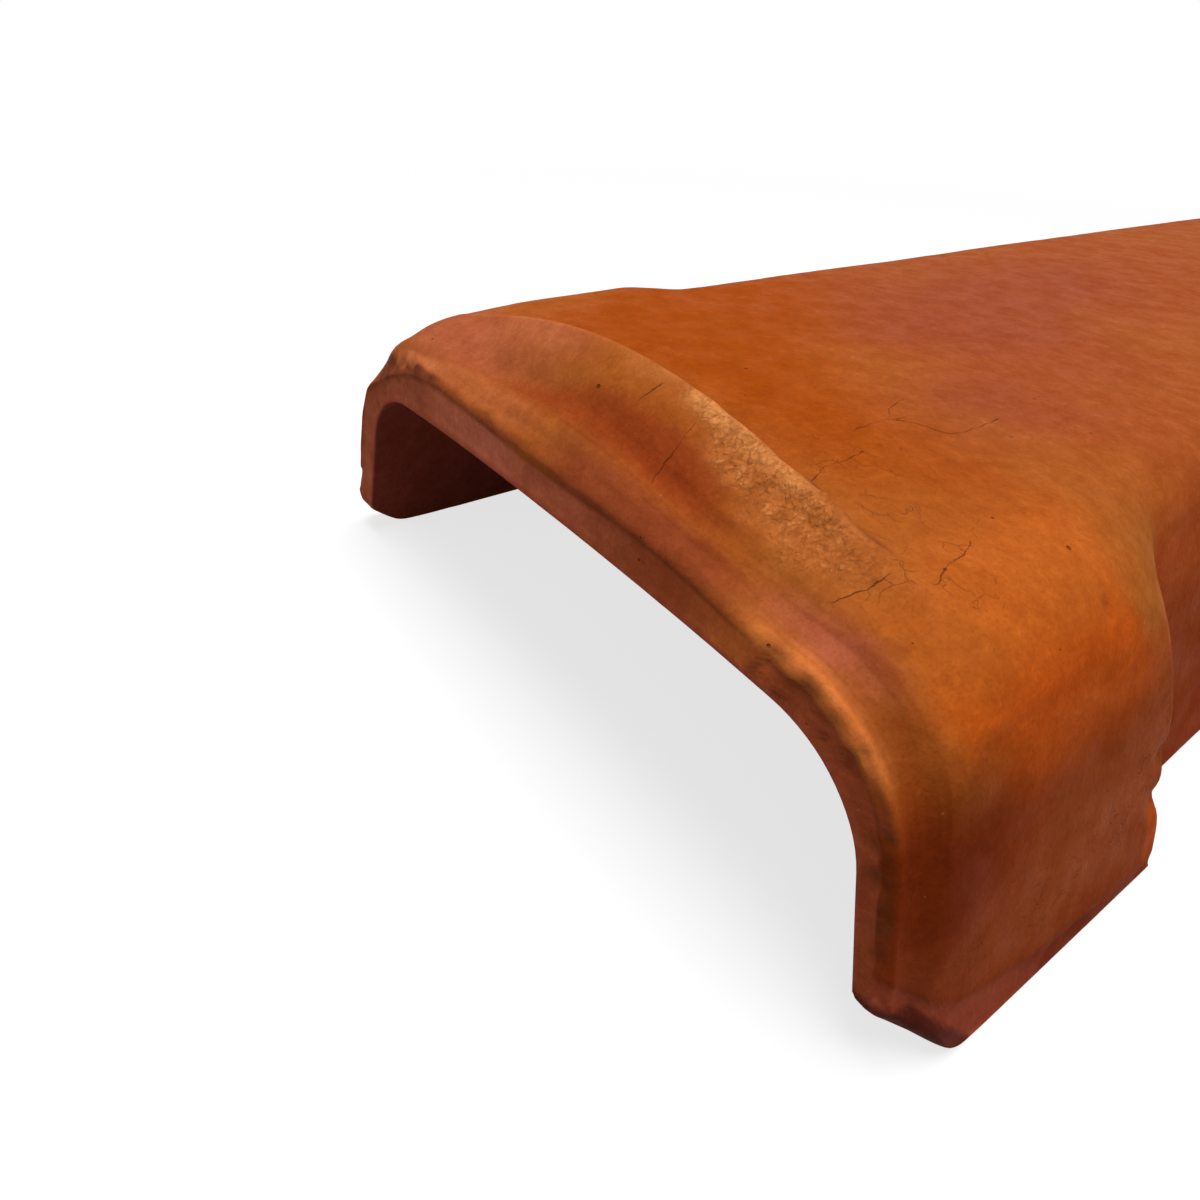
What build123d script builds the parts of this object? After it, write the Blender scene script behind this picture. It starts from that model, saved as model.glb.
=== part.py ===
"""Fired clay channel tile for a cover-and-channel roof, lying hollow side down on its two feet.

Sizes are in millimetres. The origin is on the floor, at the middle of the tile. X runs across
the trough, Y runs from the wide mouth to the narrow tail and Z is up.
"""
import math
import os

from build123d import *

# Overall lengths, from the mouth to the tail
TILE_LENGTH = 460.0
HEAD_LENGTH = 66.0
STEP_LENGTH = 15.0
SHOULDER_LENGTH = 38.0
RIM_DEPTH = 18.0

# Outside widths at the feet
HEAD_WIDTH = 180.0
BODY_WIDTH = 158.0
TAIL_WIDTH = 138.0

# Outside heights on the centre line
RIM_HEIGHT = 58.0
HEAD_HEIGHT = 65.5
TAIL_HEIGHT = 65.0

# Shape of the cross-section
WALL_LEAN = 0.26
CROWN_RISE = 2.6
RIM_CORNER = 26.0
HEAD_CORNER = 18.0
REAR_CORNER = 27.0
BODY_CORNER = 13.0
FOOT_ROUND = 2.0

# Rounded edges
RIM_ROUND = 3.0
MOUTH_ROUND = 1.0
TAIL_ROUND = 1.5

# Clay thickness
SIDE_WALL = 8.5
CROWN_WALL = 12.0
RIM_WALL = 10.2
INNER_CORNER = 12.0
MOUTH_CORNER = 20.0
LIP_DEPTH = 18.0

# Slanted lower corners of the mouth, larger on the near side
NEAR_CUT_LENGTH = 12.5
NEAR_CUT_HEIGHT = 13.0
FAR_CUT_LENGTH = 9.0
FAR_CUT_HEIGHT = 8.5

# Lug across the top of the head
LUG_CREST_SETBACK = 19.0
LUG_HEIGHT = 10.0
LUG_HALF_WIDTH = 62.0
LUG_FRONT_RUN = 16.0
LUG_BACK_RUN = 5.0
LUG_SUNK = 8.0
LUG_CREST_ROUND = 2.0

OVERCUT = 5.0

MOUTH_Y = -TILE_LENGTH / 2
TAIL_Y = TILE_LENGTH / 2
NOSE_STEPS = (0.0, 0.3, 0.45, 0.6, 0.8, 1.0)
STEP_STEPS = (0.0, 0.15, 0.3, 0.5, 0.7, 0.85, 1.0)
BODY_STEPS = (1.0,)


def blend(start, end, share):
    """Value a share of the way from start to end."""
    return start + (end - start) * share


def ease(share):
    """Share of an S-curve that leaves and arrives level."""
    return share * share * (3 - 2 * share)


def outer_sections():
    """Place, half width, height and shoulder radius of each outside section, mouth to tail."""
    rows = []
    for share in NOSE_STEPS:
        height = blend(RIM_HEIGHT, HEAD_HEIGHT, ease(share))
        corner = blend(RIM_CORNER, HEAD_CORNER, ease(share))
        rows.append((MOUTH_Y + RIM_DEPTH * share, HEAD_WIDTH / 2, height, corner))
    # The shoulder rounds off more and more towards the rear end of the head.
    rows.append((MOUTH_Y + SHOULDER_LENGTH, HEAD_WIDTH / 2, HEAD_HEIGHT, HEAD_CORNER))
    for share in STEP_STEPS:
        half = blend(HEAD_WIDTH, BODY_WIDTH, ease(share)) / 2
        corner = blend(REAR_CORNER, BODY_CORNER, ease(share))
        rows.append((MOUTH_Y + HEAD_LENGTH + STEP_LENGTH * share, half, HEAD_HEIGHT, corner))
    body_y = MOUTH_Y + HEAD_LENGTH + STEP_LENGTH
    for share in BODY_STEPS:
        half = blend(BODY_WIDTH, TAIL_WIDTH, share) / 2
        height = blend(HEAD_HEIGHT, TAIL_HEIGHT, share)
        rows.append((blend(body_y, TAIL_Y, share), half, height, BODY_CORNER))
    return rows


def inner_sections():
    """Place, half width, height and shoulder radius of each section of the trough."""
    rows = []
    mouth = RIM_HEIGHT - RIM_WALL
    head = HEAD_HEIGHT - CROWN_WALL
    for share in NOSE_STEPS:
        height = blend(mouth, head, ease(share))
        corner = blend(MOUTH_CORNER, INNER_CORNER, ease(share))
        rows.append((MOUTH_Y + LIP_DEPTH * share, HEAD_WIDTH / 2 - SIDE_WALL, height, corner))
    for share in STEP_STEPS:
        half = blend(HEAD_WIDTH, BODY_WIDTH, ease(share)) / 2 - SIDE_WALL
        rows.append((MOUTH_Y + HEAD_LENGTH + STEP_LENGTH * share, half, head, INNER_CORNER))
    body_y = MOUTH_Y + HEAD_LENGTH + STEP_LENGTH
    for share in BODY_STEPS:
        half = blend(BODY_WIDTH, TAIL_WIDTH, share) / 2 - SIDE_WALL
        height = blend(head, TAIL_HEIGHT - CROWN_WALL, share)
        rows.append((blend(body_y, TAIL_Y, share), half, height, INNER_CORNER))
    rows.insert(0, (MOUTH_Y - OVERCUT, *rows[0][1:]))
    rows.append((TAIL_Y + OVERCUT, *rows[-1][1:]))
    return rows


def corner_cut(length, height):
    """Side view of the clay that is cut off a lower corner of the mouth."""
    with BuildSketch(Plane.YZ) as profile:
        with BuildLine():
            Polyline(
                (MOUTH_Y - OVERCUT, -OVERCUT),
                (MOUTH_Y + length, -OVERCUT),
                (MOUTH_Y + length, 0),
                (MOUTH_Y, height),
                (MOUTH_Y - OVERCUT, height),
                close=True,
            )
        make_face()
    return profile.sketch


def section(y, half, height, corner, foot=0.0, foot_round=0.0):
    """Face across the tile at y: leaning walls, rounded shoulders and a slightly crowned top."""
    shoulder_z = height - CROWN_RISE
    shoulder_x = half - WALL_LEAN * shoulder_z
    foot_x = half - WALL_LEAN * foot
    with BuildSketch(Plane.XZ.offset(-y)) as profile:
        with BuildLine():
            Polyline((-shoulder_x, shoulder_z), (-foot_x, foot), (foot_x, foot), (shoulder_x, shoulder_z))
            ThreePointArc((-shoulder_x, shoulder_z), (0, height), (shoulder_x, shoulder_z))
        make_face()
        fillet(profile.vertices().group_by(Axis.Y)[-1], radius=corner)
        if foot_round > 0:
            fillet(profile.vertices().group_by(Axis.Y)[0], radius=foot_round)
    return profile.sketch


with BuildPart() as trough:
    loft(sections=[section(*row, foot=-OVERCUT) for row in inner_sections()], ruled=True)

# The lug is a wedge swung about an axis below the tile, so that its crest sinks into the crown
# at both ends.
with BuildPart() as lug:
    crest_y = MOUTH_Y + LUG_CREST_SETBACK
    crest_z = HEAD_HEIGHT + LUG_HEIGHT
    base_z = HEAD_HEIGHT - LUG_SUNK
    crest_fall = LUG_HEIGHT + CROWN_RISE
    crest_radius = (LUG_HALF_WIDTH ** 2 + crest_fall ** 2) / (2 * crest_fall)
    half_sweep = math.degrees(math.asin(LUG_HALF_WIDTH / crest_radius))
    swing = Axis((0, 0, crest_z - crest_radius), (0, 1, 0))
    with BuildSketch(Plane.YZ) as wedge:
        with BuildLine():
            Polyline(
                (crest_y - LUG_FRONT_RUN, base_z),
                (crest_y, crest_z),
                (crest_y + LUG_BACK_RUN, base_z),
                close=True,
            )
        make_face()
        fillet(wedge.vertices().group_by(Axis.Y)[-1], radius=LUG_CREST_ROUND)
    revolve(axis=swing, revolution_arc=half_sweep)
    revolve(wedge.sketch, axis=swing, revolution_arc=-half_sweep)

with BuildPart() as roof_tile:
    loft(sections=[section(*row, foot_round=FOOT_ROUND) for row in outer_sections()], ruled=True)
    mouth_face = roof_tile.faces().sort_by(Axis.Y)[0]
    fillet(mouth_face.edges().filter_by(lambda edge: edge.center().Z > FOOT_ROUND), radius=RIM_ROUND)
    add(lug.part)
    add(trough.part, mode=Mode.SUBTRACT)
    # Both lower corners of the mouth are cut off on a slant.
    extrude(corner_cut(NEAR_CUT_LENGTH, NEAR_CUT_HEIGHT), amount=HEAD_WIDTH, mode=Mode.SUBTRACT)
    extrude(corner_cut(FAR_CUT_LENGTH, FAR_CUT_HEIGHT), amount=-HEAD_WIDTH, mode=Mode.SUBTRACT)
    # Fingers have softened what is left of the sharp edges at both ends.
    mouth_face = roof_tile.faces().filter_by(lambda face: abs(face.center().Y - MOUTH_Y) < 0.01)
    fillet(mouth_face.edges(), radius=MOUTH_ROUND)
    tail_face = roof_tile.faces().sort_by(Axis.Y)[-1]
    fillet(tail_face.edges().filter_by(lambda edge: edge.center().Z > 0.01), radius=TAIL_ROUND)

roof_tile.part.label = "roof_tile"
os.makedirs("parts", exist_ok=True)
export_step(roof_tile.part, "parts/roof_tile.step")
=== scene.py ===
# %% [markdown]
# # A weathered clay channel tile
#
# The tile is one piece of pressed and fired clay. It lies hollow side down, so its two long edges
# are its feet. This lesson dresses the plain solid: it works out one closed skin with numpy, marks
# the skin with wear, and gives it a clay finish built from nodes.
#
# The first cell loads the solid as a fixed frame. Shapes are worked out in millimetres, and they go into
# the mesh in metres, in that frame.

# %% Load the frame
import math

import bpy
import numpy as np
from mathutils import Matrix, Vector


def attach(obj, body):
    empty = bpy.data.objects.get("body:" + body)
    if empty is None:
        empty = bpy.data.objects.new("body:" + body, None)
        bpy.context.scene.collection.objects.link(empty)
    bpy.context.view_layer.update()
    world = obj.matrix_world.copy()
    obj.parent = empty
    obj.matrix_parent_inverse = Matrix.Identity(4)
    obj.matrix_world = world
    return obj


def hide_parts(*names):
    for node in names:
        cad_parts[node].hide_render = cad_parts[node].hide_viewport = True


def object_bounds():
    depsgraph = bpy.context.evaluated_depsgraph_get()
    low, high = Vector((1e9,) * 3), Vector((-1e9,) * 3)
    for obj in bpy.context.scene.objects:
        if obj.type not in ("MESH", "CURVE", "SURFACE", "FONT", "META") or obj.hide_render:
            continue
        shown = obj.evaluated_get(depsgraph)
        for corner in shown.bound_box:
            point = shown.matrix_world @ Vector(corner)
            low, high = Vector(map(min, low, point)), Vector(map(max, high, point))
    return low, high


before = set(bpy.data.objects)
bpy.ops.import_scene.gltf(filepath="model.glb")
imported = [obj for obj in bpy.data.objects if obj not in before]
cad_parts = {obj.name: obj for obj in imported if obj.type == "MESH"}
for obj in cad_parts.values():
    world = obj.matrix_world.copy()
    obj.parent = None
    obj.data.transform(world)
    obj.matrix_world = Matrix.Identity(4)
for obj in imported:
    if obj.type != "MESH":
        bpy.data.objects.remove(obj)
cad_low, cad_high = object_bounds()
MM = 0.001
print("solid box in mm", [round(v / MM, 1) for v in (*cad_low, *cad_high)])

# %% [markdown]
# ## The camera
#
# A camera could be nudged by hand until the picture looks right. Here it is worked out instead:
# the focal length in pixels, the place and the three turns were fitted to the edges of the mouth,
# the feet and the crown. Blender wants the focal length in millimetres on a 36 mm sensor, and the
# picture's optical centre as a shift in frame widths.

# %% Place the camera
PICTURE = 1200.0
FOCAL = 839.57
CENTRE = (559.16, 547.86)
STAND = Vector((105.72, -302.94, 121.07)) * MM
YAW, PITCH, ROLL = 0.9393, 0.5639, 0.0603
SENSOR = 36.0
CLIP = (0.005, 50.0)


def camera_axes(yaw, pitch, roll):
    """Right, up and forward directions: turn left by yaw, look down by pitch, then lean by roll."""
    flat = Vector((-math.sin(yaw), math.cos(yaw), 0))
    forward = flat * math.cos(pitch) - Vector((0, 0, math.sin(pitch)))
    level = Vector((math.cos(yaw), math.sin(yaw), 0))
    steep = level.cross(forward)
    right = level * math.cos(roll) + steep * math.sin(roll)
    up = steep * math.cos(roll) - level * math.sin(roll)
    return right, up, forward


lens = bpy.data.cameras.new("camera")
lens.sensor_width = SENSOR
lens.lens = lens.sensor_width * FOCAL / PICTURE
lens.shift_x = 0.5 - CENTRE[0] / PICTURE
lens.shift_y = CENTRE[1] / PICTURE - 0.5
lens.clip_start, lens.clip_end = CLIP
camera = bpy.data.objects.new("camera", lens)
bpy.context.collection.objects.link(camera)
bpy.context.scene.camera = camera
right, up, forward = camera_axes(YAW, PITCH, ROLL)
camera.matrix_world = Matrix.Translation(STAND) @ Matrix((right, up, -forward)).transposed().to_4x4()
print("lens", round(lens.lens, 2), "mm, shift", round(lens.shift_x, 3), round(lens.shift_y, 3))

# %% [markdown]
# ## The sizes of the tile
#
# These repeat the solid's own sizes, in millimetres. Along the tile, d is the distance from the
# mouth. Each size is a function of d: the rim swells into the head, the head steps in to the body,
# and the body tapers to the tail. On the near side the step is soft and early on the shoulder, but
# late and sharp on the wall, so the outer sizes also depend on the share of the outline, from -1 at
# the far foot through 0 at the crown to 1 at the near foot.
#
# A few sizes depart a little from the solid's: the far shoulder is rounder, the rear of the head is
# a millimetre tighter, and the slanted corners leave room for the worn bevel that is added below.

# %% Sizes of the tile and two curves
LENGTH, HEAD, STEP, RIM = 460.0, 66.0, 15.0, 18.0
HEAD_WIDTH, BODY_WIDTH, TAIL_WIDTH = 180.0, 158.0, 138.0
RIM_HEIGHT, HEAD_HEIGHT, TAIL_HEIGHT = 58.0, 65.5, 65.0
LEAN, CROWN_RISE = 0.26, 2.6
RIM_CORNER, HEAD_CORNER, REAR_CORNER, BODY_CORNER = 26.0, 18.0, 26.0, 13.0
SIDE_WALL, CROWN_WALL, RIM_WALL = 8.5, 12.0, 10.2
MOUTH_CORNER, INNER_CORNER, LIP = 20.0, 12.0, 18.0
NEAR_CUT, FAR_CUT = (13.5, 10.5), (8.5, 7.5)
FAR_RIM, FAR_HEAD, FAR_RUN = 33.0, 26.0, 17.0
NEAR_BODY_SWELL = 1.3
SHOULDER_STEP, WALL_DELAY, FOOT_DELAY = 55.0, 13.5, 2.0
SHOULDER_RUN, WALL_SHORTER = 24.0, 16.0


def ease(share):
    """S-curve 3s^2 - 2s^3, level at both ends."""
    share = np.clip(share, 0, 1)
    return share * share * (3 - 2 * share)


def hill(value, middle, spread):
    """Bell curve: e to the minus square of the distance from the middle, counted in spreads."""
    return np.exp(-((value - middle) / spread) ** 2)


print("ease of 0, 1/2 and 1:", ease(np.array([0, 0.5, 1])).tolist())

# %% [markdown]
# Every shape below is built from these two curves. ease((x - a) / b) fades in over b millimetres
# beyond x = a, and hill(d, a, b) is a band at d = a that is about b millimetres wide to each side.
# Sizes that change along the tile are blends of two fixed sizes by such a curve.

# %% Sizes along the tile
def near_side(share):
    """0 up to the crown and 1 from the near shoulder on, with an S-curve between."""
    return ease((share - 0.1) / 0.3)


def taper(d):
    """Share of the way along the body, from the end of the step to the tail."""
    return np.clip((d - HEAD - STEP) / (LENGTH - HEAD - STEP), 0, 1)


def half_width(d, step):
    """Half width at the feet: the head's, less the step, less the taper."""
    return (HEAD_WIDTH + (BODY_WIDTH - HEAD_WIDTH) * step + (TAIL_WIDTH - BODY_WIDTH) * taper(d)) / 2


def step_share(d, share):
    """Share of the step from head to body that is done at d, for a share of the outline."""
    near = near_side(share)
    wall = ease((share - 0.5) / 0.28)
    foot = ease((share - 0.87) / 0.07)
    start = HEAD + (SHOULDER_STEP - HEAD + WALL_DELAY * wall + FOOT_DELAY * foot) * near
    return ease((d - start) / (STEP + (SHOULDER_RUN - STEP - WALL_SHORTER * wall) * near))


def outside_sizes(d, share):
    """Half width at the feet, height and shoulder radius of the outer skin at d and a share."""
    near = near_side(share)
    far = ease((-0.12 - share) / 0.25)
    step = step_share(d, share)
    rise = ease(d / RIM)
    rise = rise + (1 - np.clip(1 - d / FAR_RUN, 0, 1) ** 2 - rise) * far
    height = RIM_HEIGHT + (HEAD_HEIGHT - RIM_HEIGHT) * rise + (TAIL_HEIGHT - HEAD_HEIGHT) * taper(d)
    soft = far * ease((42.0 - d) / 30.0)
    rear = near * ease((d - 38.0) / 30.0)
    rim = RIM_CORNER + (FAR_RIM - RIM_CORNER) * far
    head = HEAD_CORNER + (FAR_HEAD - HEAD_CORNER) * soft
    corner = rim + (head - rim) * rise + (REAR_CORNER - HEAD_CORNER) * rear
    swell = NEAR_BODY_SWELL * near * step * (1 - taper(d))
    return half_width(d, step) + swell, height, corner + (BODY_CORNER - corner) * step


def inside_sizes(d):
    """The same three sizes for the trough: the outer skin less the clay, with a lip at the mouth."""
    rise = ease(d / LIP)
    height = RIM_HEIGHT - RIM_WALL + (HEAD_HEIGHT - CROWN_WALL - RIM_HEIGHT + RIM_WALL) * rise
    height = height + (TAIL_HEIGHT - HEAD_HEIGHT) * taper(d)
    half = half_width(d, ease((d - HEAD) / STEP)) - SIDE_WALL
    return half, height, MOUTH_CORNER + (INNER_CORNER - MOUTH_CORNER) * rise


for probe_d in (0.0, 40.0, 75.0, LENGTH):
    print("outside at", probe_d, np.round(outside_sizes(np.array(probe_d), np.array(1.0)), 1).tolist())

# %% [markdown]
# ## One section across the tile
#
# A section is a leaning wall, a rounded shoulder, a slightly crowned top, and the same again in
# mirror image. It could be drawn as a curve and filleted. Working it out in closed form is better
# here, because then every section along the tile comes out of one array sum, and a point at the
# same share of the outline sits in the same place on each of them.

# %% The section as a function of two parameters
SLANT = math.hypot(1, LEAN)


def section(half, height, corner, foot, share):
    """Points at a signed share (-1 far foot, 0 crown, 1 near foot) of the outline, by arc length.

    The crown is a circle that rises by CROWN_RISE from its ends to its middle, the wall is the line
    x = half - LEAN * z, and a circle of radius corner touches both. Its centre (cx, cz) lies corner
    inside the wall and crown - corner from the crown's centre, which gives a quadratic in cz.
    """
    top_x = half - LEAN * (height - CROWN_RISE)
    crown = (top_x ** 2 + CROWN_RISE ** 2) / (2 * CROWN_RISE)
    a, b = half - corner * SLANT, crown - height
    p, q = 2 * (b - a * LEAN), a * a + b * b - (crown - corner) ** 2
    cz = (-p + np.sqrt(p * p - 4 * SLANT ** 2 * q)) / (2 * SLANT ** 2)
    cx = a - cz * LEAN
    low, high = math.atan2(LEAN, 1), np.arctan2(cz + b, cx)
    crown_run = crown * np.arctan2(cx, cz + b)
    round_run = corner * (high - low)
    wall_run = (cz + corner * LEAN / SLANT - foot) * SLANT
    run = np.abs(share) * (crown_run + round_run + wall_run)
    turn = high - np.clip(run - crown_run, 0, round_run) / corner
    down = np.clip(run - crown_run - round_run, 0, None) / SLANT
    on_crown = run < crown_run
    x = np.where(on_crown, crown * np.sin(run / crown), cx + corner * np.cos(turn) + down * LEAN)
    z = np.where(on_crown, crown * np.cos(run / crown) - b, cz + corner * np.sin(turn) - down)
    return np.sign(share) * x, z


probe = section(HEAD_WIDTH / 2, HEAD_HEIGHT, HEAD_CORNER, 0.0, np.array([0.0, 0.5, 1.0]))
print("head section, crown to foot", np.round(np.stack(probe, -1), 1).tolist())

# %% [markdown]
# ## Rows along the tile
#
# Detail shows most at the mouth, so the rows lie 0.74 mm apart on the head and spread towards the
# tail. The first rows are spaced as on a quarter circle, to follow the rounded edge of the mouth.
# A subdivided box would spend as many points on the plain body as on the rim.

# %% Places of the rows
EDGE_ROUND, MOUTH_ROUND, TAIL_ROUND = 1.8, 0.5, 1.5
FINE_END, FINE_GAP, BODY_ROWS = 110.0, 0.74, 90
quarter = np.linspace(0, np.pi / 2, 10)
rim_rows = EDGE_ROUND * (1 - np.cos(quarter))
head_rows = np.arange(EDGE_ROUND + 0.5, FINE_END, FINE_GAP)
stretch = np.linspace(0, 1, BODY_ROWS)[1:]
body_run = LENGTH - TAIL_ROUND - head_rows[-1]
body_rows = head_rows[-1] + body_run * (0.25 * stretch + 0.75 * stretch ** 2)
tail_rows = LENGTH - TAIL_ROUND * (1 - np.sin(quarter[2::2]))
d = np.concatenate([rim_rows, head_rows, body_rows, tail_rows])
print(len(d), "rows, the closest", round(float(np.diff(d).min()), 3), "mm apart")

# %% [markdown]
# The edges of the tile are worn. The mouth's outer edge is crisp and broken on the far side, soft in
# the middle, and flared on the near side, where wet clay was pushed outwards. The feet rise at the
# mouth, where the lower corners are cut off on a slant. A Bevel modifier would round all edges
# alike, so each edge gets a small formula instead: how far it is drawn in at a distance from the end.

# %% Rounding of the ends and the feet
FLARE, FLARE_RUN = 2.9, 9.0
CORNER_WEAR = 2.0


def soft_max(a, b, fillet):
    """The larger of a and b with the crease filled: half of their sum plus a rounded gap."""
    return 0.5 * (a + b + np.sqrt((a - b) ** 2 + fillet ** 2))


def drawn_in(distance, radius):
    """How far a quarter circle of this radius lies inside its corner, at a distance from the end."""
    gap = np.clip(radius - distance, 0, radius)
    return radius - np.sqrt(radius ** 2 - gap ** 2)


def edge_depth(distance, share):
    """How far the mouth's outer edge is drawn in: crisp far, soft in the middle, flared near."""
    near = ease((share - 0.15) / 0.35)
    middle = hill(share, 0.02, 0.27)
    soft = drawn_in(distance, EDGE_ROUND)
    crisp = drawn_in(distance, 0.45 * EDGE_ROUND)
    crisp = crisp + (drawn_in(distance, 1.7 * EDGE_ROUND) - crisp) * middle
    broken = 2.4 * hill(share, -0.55, 0.12) * (1 - ease(distance / 3.0))
    bulge = 0.7 * ease((-0.62 - share) / 0.1) * (1 - ease(distance / 14.0))
    flare = soft + FLARE * (1 - ease(distance / FLARE_RUN))
    return (crisp + broken - bulge) * (1 - near) + flare * near


def foot_level(distance, cut):
    """Height of a foot: the larger of the slanted cut and the floor, with a worn corner between."""
    slope = cut[1] * (1 - distance / cut[0])
    worn = soft_max(slope, 0.0, CORNER_WEAR) * ease((30 - distance) / 16)
    return worn + 0.4 * drawn_in(distance, 1.5)


def bevel_size(distance, cut):
    """Width and height of the worn bevel under a wall: large on the slanted cut, small behind it."""
    large = ease((cut[0] - 1.0 - distance) / 7.0)
    return 0.5 + 1.6 * large, 0.7 + 0.36 * cut[1] * large


print("near foot at the mouth", round(float(foot_level(0.0, NEAR_CUT)), 1), "mm above the floor")

# %% [markdown]
# ## The closed loop
#
# Each row becomes a closed loop: the outer skin from the far foot over the crown to the near
# foot, round the near foot, back through the trough and round the far foot. The edges of the mouth
# and the tail are rounded by drawing each outline in, in its own plane, by what a quarter circle
# leaves there.

# %% Outlines of every row
OUTER, INNER, FOOT = 240, 120, 5
INNER_AT = OUTER + 1 + 2 * FOOT
INNER_ROUND, BEVEL_START = 1.2, 0.2
share_out, share_in = np.linspace(-1, 1, OUTER + 1), np.linspace(1, -1, INNER + 1)
rows_d = d[:, None]
near_floor, far_floor = foot_level(rows_d, NEAR_CUT), foot_level(rows_d, FAR_CUT)
near_bevel, far_bevel = bevel_size(rows_d, NEAR_CUT), bevel_size(rows_d, FAR_CUT)


def floor_under(share):
    """Height of the foot on the side of the tile that a share belongs to."""
    return np.where(share > 0, near_floor, far_floor)


def draw_in(x, z, depth):
    """Move an outline towards the clay by depth: along its tangent turned a quarter turn."""
    tx, tz = np.gradient(x, axis=1), np.gradient(z, axis=1)
    size = np.hypot(tx, tz)
    return x + depth * tz / size, z - depth * tx / size


def inner_outline(share):
    """The trough's outline on every row, with the mouth's and the tail's inner edge rounded."""
    depth = drawn_in(rows_d, MOUTH_ROUND) + drawn_in(LENGTH - rows_d, TAIL_ROUND)
    x, z = section(*inside_sizes(rows_d), floor_under(share) + INNER_ROUND, share)
    return draw_in(x, z, depth)


def foot_points(outer_x, inner_x, level, bevel):
    """Under one wall, seen as the near one: a worn bevel from outside to the floor, then a rounding."""
    clay = outer_x - inner_x
    turn = np.linspace(BEVEL_START, np.pi / 2, FOOT + 1)[None, 1:]
    wide = 1 - np.cos(turn) / math.cos(BEVEL_START)
    high = (1 - np.sin(turn)) / (1 - math.sin(BEVEL_START))
    bevel_x = outer_x - np.minimum(bevel[0], 0.45 * clay) * wide
    swing = np.linspace(np.pi / 2, 0, FOOT + 1)[None, :-1]
    round_x = inner_x + np.minimum(INNER_ROUND, 0.25 * clay) * (1 - np.cos(swing))
    foot_z = [level + bevel[1] * high, level + INNER_ROUND * (1 - np.sin(swing))]
    return np.concatenate([bevel_x, round_x], 1), np.concatenate(foot_z, 1)


print(OUTER + 1, "points outside,", 2 * FOOT, "under each foot,", INNER + 1, "in the trough")

# %% [markdown]
# Stacked along the tile, the loops make a grid that closes on itself in one direction. Solidify could
# give a bare outer skin its thickness, but a real tile is thicker over the crown than at the sides.

# %% Stack the loops
tail_depth = drawn_in(LENGTH - rows_d, TAIL_ROUND)
outer_floor = floor_under(share_out) + np.where(share_out > 0, near_bevel[1], far_bevel[1])
plain = section(*outside_sizes(rows_d, share_out), outer_floor, share_out)
out_x, out_z = draw_in(*plain, edge_depth(rows_d, share_out) + tail_depth)
in_x, in_z = inner_outline(share_in)
near_x, near_z = foot_points(out_x[:, -1:], in_x[:, :1], near_floor, near_bevel)
far_x, far_z = foot_points(-out_x[:, :1], -in_x[:, -1:], far_floor, far_bevel)
loop_x = np.concatenate([out_x, near_x, in_x, -far_x[:, ::-1]], 1)
loop_z = np.concatenate([out_z, near_z, in_z, far_z[:, ::-1]], 1)
ROWS, COLS = loop_x.shape
loop_d = np.repeat(rows_d, COLS, 1)
outer = np.arange(COLS)[None, :] <= OUTER
share_all = np.concatenate([share_out, np.ones(2 * FOOT), share_in, -np.ones(2 * FOOT)])
print("grid", ROWS, "by", COLS, "points")

# %% [markdown]
# ## The lug
#
# A crescent of clay stands across the crown just behind the mouth, to hook over a batten. Its
# front slopes up gently from the rim, its back drops steeply, and its crest sinks into the crown at
# both ends. It is added to the skin as a height: wherever the crescent is higher than the crown,
# the skin is lifted to it, with a soft fillet where the two meet.

# %% Raise the lug
LUG_D, LUG_TOP, LUG_BEND, LUG_MIDDLE = 18.4, 73.4, 148.0, -3.0
LUG_FRONT, LUG_BACK, CREST_SWEEP = 1.0, 3.3, 2.0
CREST_ROUND, LUG_FILLET = 2.0, 1.0


def crest_line(x):
    """Distance of the crest from the mouth; its near end bends forward by CREST_SWEEP."""
    return LUG_D - CREST_SWEEP * ease((x - 30) / 30)


def lug_height(x, along):
    """Crest height falls with the square of x; the front falls at 45 degrees and the back at 73."""
    crest = LUG_TOP - (x - LUG_MIDDLE) ** 2 / (2 * LUG_BEND)
    front = (crest_line(x) - along) * LUG_FRONT
    back = (along - crest_line(x)) * LUG_BACK
    return crest - soft_max(front, back, CREST_ROUND) + CREST_ROUND / 2


lift = soft_max(loop_z, lug_height(loop_x, loop_d), LUG_FILLET) - loop_z
on_top = outer & (loop_z > 50)
loop_z = loop_z + lift * on_top * ease((loop_d - 1) / 3)
print("lug crest", round(float(loop_z.max()), 2), "mm above the floor")

# %% [markdown]
# ## Lattice noise
#
# Blender's noise nodes run in node trees only. To move points here, the lesson needs noise as an array.
# Random values sit on a cubic lattice, and each point takes a smooth blend of the eight around
# it. Adding a few sizes of lattice gives the lumps of hand-worked clay.

# %% Noise for whole arrays
LATTICE_SIDE, SEED = 64, 7
LATTICE = np.random.default_rng(SEED).uniform(-1, 1, (LATTICE_SIDE,) * 3)


def lattice_noise(points, size, shift=0.0):
    """Blend of the eight lattice values round each point, for cells of this size; between -1 and 1."""
    place = points / size + shift
    cell = np.floor(place).astype(int)
    part = ease(place - cell)
    total = np.zeros(points.shape[:-1])
    for corner in np.ndindex(2, 2, 2):
        weight = np.prod(np.where(corner, part, 1 - part), -1)
        i, j, k = np.moveaxis((cell + corner) % LATTICE_SIDE, -1, 0)
        total += weight * LATTICE[i, j, k]
    return total


def spot(points, centre, spread):
    """Bell-shaped spot of height 1 round a centre (x, d, z); the spread may differ on each axis."""
    return np.exp(-(((points - np.array(centre)) / np.array(spread)) ** 2).sum(-1))


loops = np.stack([loop_x, loop_d, loop_z], -1)
print("noise spread", round(float(lattice_noise(loops, 9.0).std()), 3))

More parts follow.
